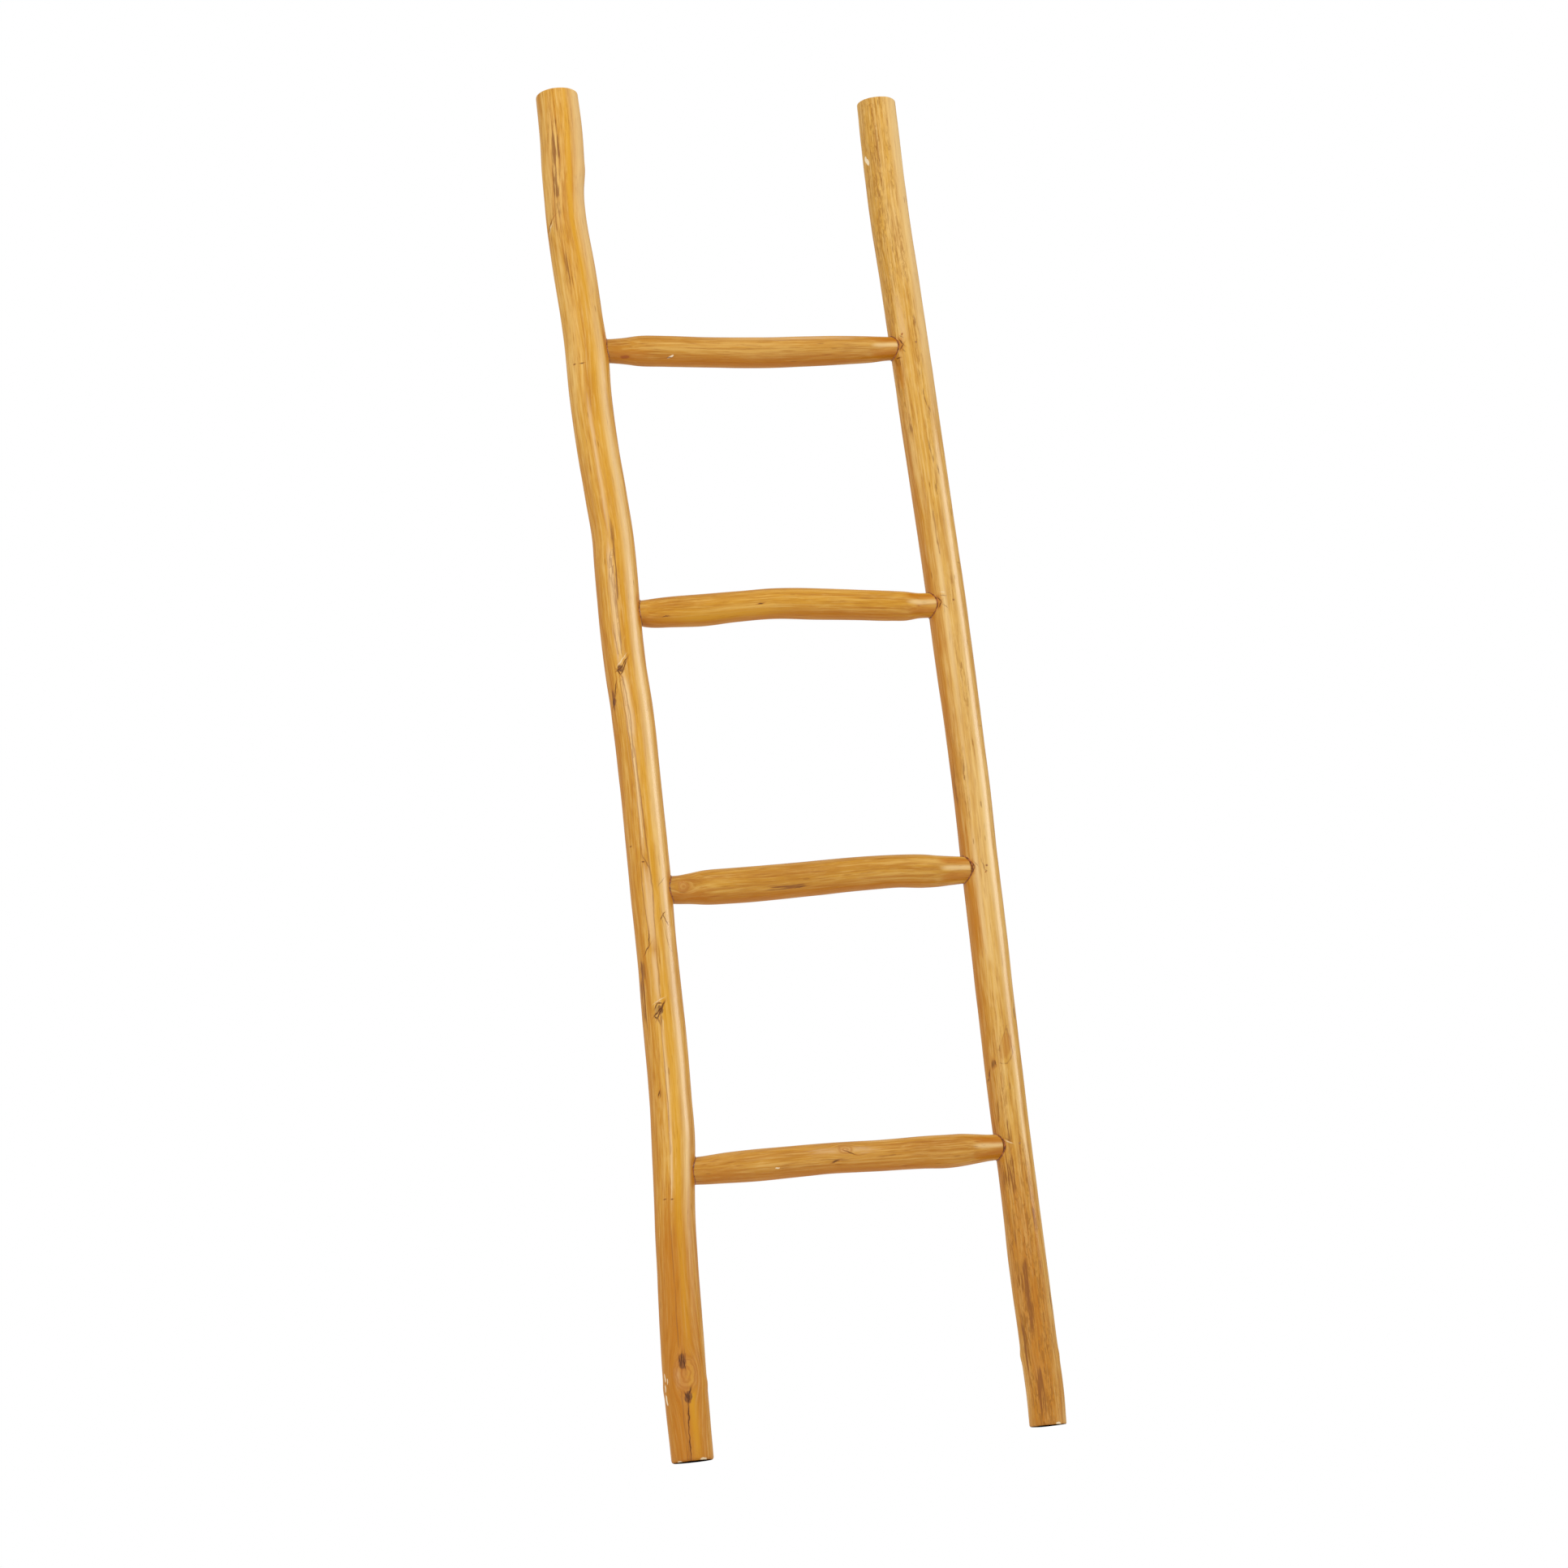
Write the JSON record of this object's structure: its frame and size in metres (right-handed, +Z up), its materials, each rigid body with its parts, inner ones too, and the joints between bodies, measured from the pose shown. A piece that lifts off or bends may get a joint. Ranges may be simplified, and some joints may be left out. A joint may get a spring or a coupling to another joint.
{
  "type": "blanket ladder",
  "caption": "Leaning blanket ladder of natural debarked branches: two crooked round poles joined by whittled round rungs, clear lacquered.",
  "frame": {"origin": "on the floor plane, midway between the outer faces of the two poles, with the ladder standing upright", "axes": "+Z up the poles, +X along the rungs to the right-hand pole as seen from the front, +Y to the back, where the wall is"},
  "size_m": [0.5274, 0.0645, 1.8],
  "materials": {
    "pole_wood": "clear satin lacquer over debarked, sanded golden teak sapwood with brown streaks and knots",
    "rung_wood": "clear satin lacquer over whittled and sanded amber teak",
    "wood_glue": "set, squeezed-out amber wood glue under lacquer",
    "nail_steel": "bright drawn wire",
    "wood_filler": "sanded brown wood filler under lacquer"
  },
  "bodies": {
    "root": {"left_rail": "pole_wood", "right_rail": "pole_wood", "rung_bottom": "rung_wood", "rung_lower": "rung_wood", "rung_upper": "rung_wood", "rung_top": "rung_wood", "joint_nails": "nail_steel", "nail_filler": "wood_filler", "glue_bead_bottom_left": "wood_glue", "glue_bead_bottom_right": "wood_glue", "glue_bead_lower_left": "wood_glue", "glue_bead_lower_right": "wood_glue", "glue_bead_upper_left": "wood_glue", "glue_bead_upper_right": "wood_glue", "glue_bead_top_left": "wood_glue", "glue_bead_top_right": "wood_glue"}
  },
  "joints": []
}
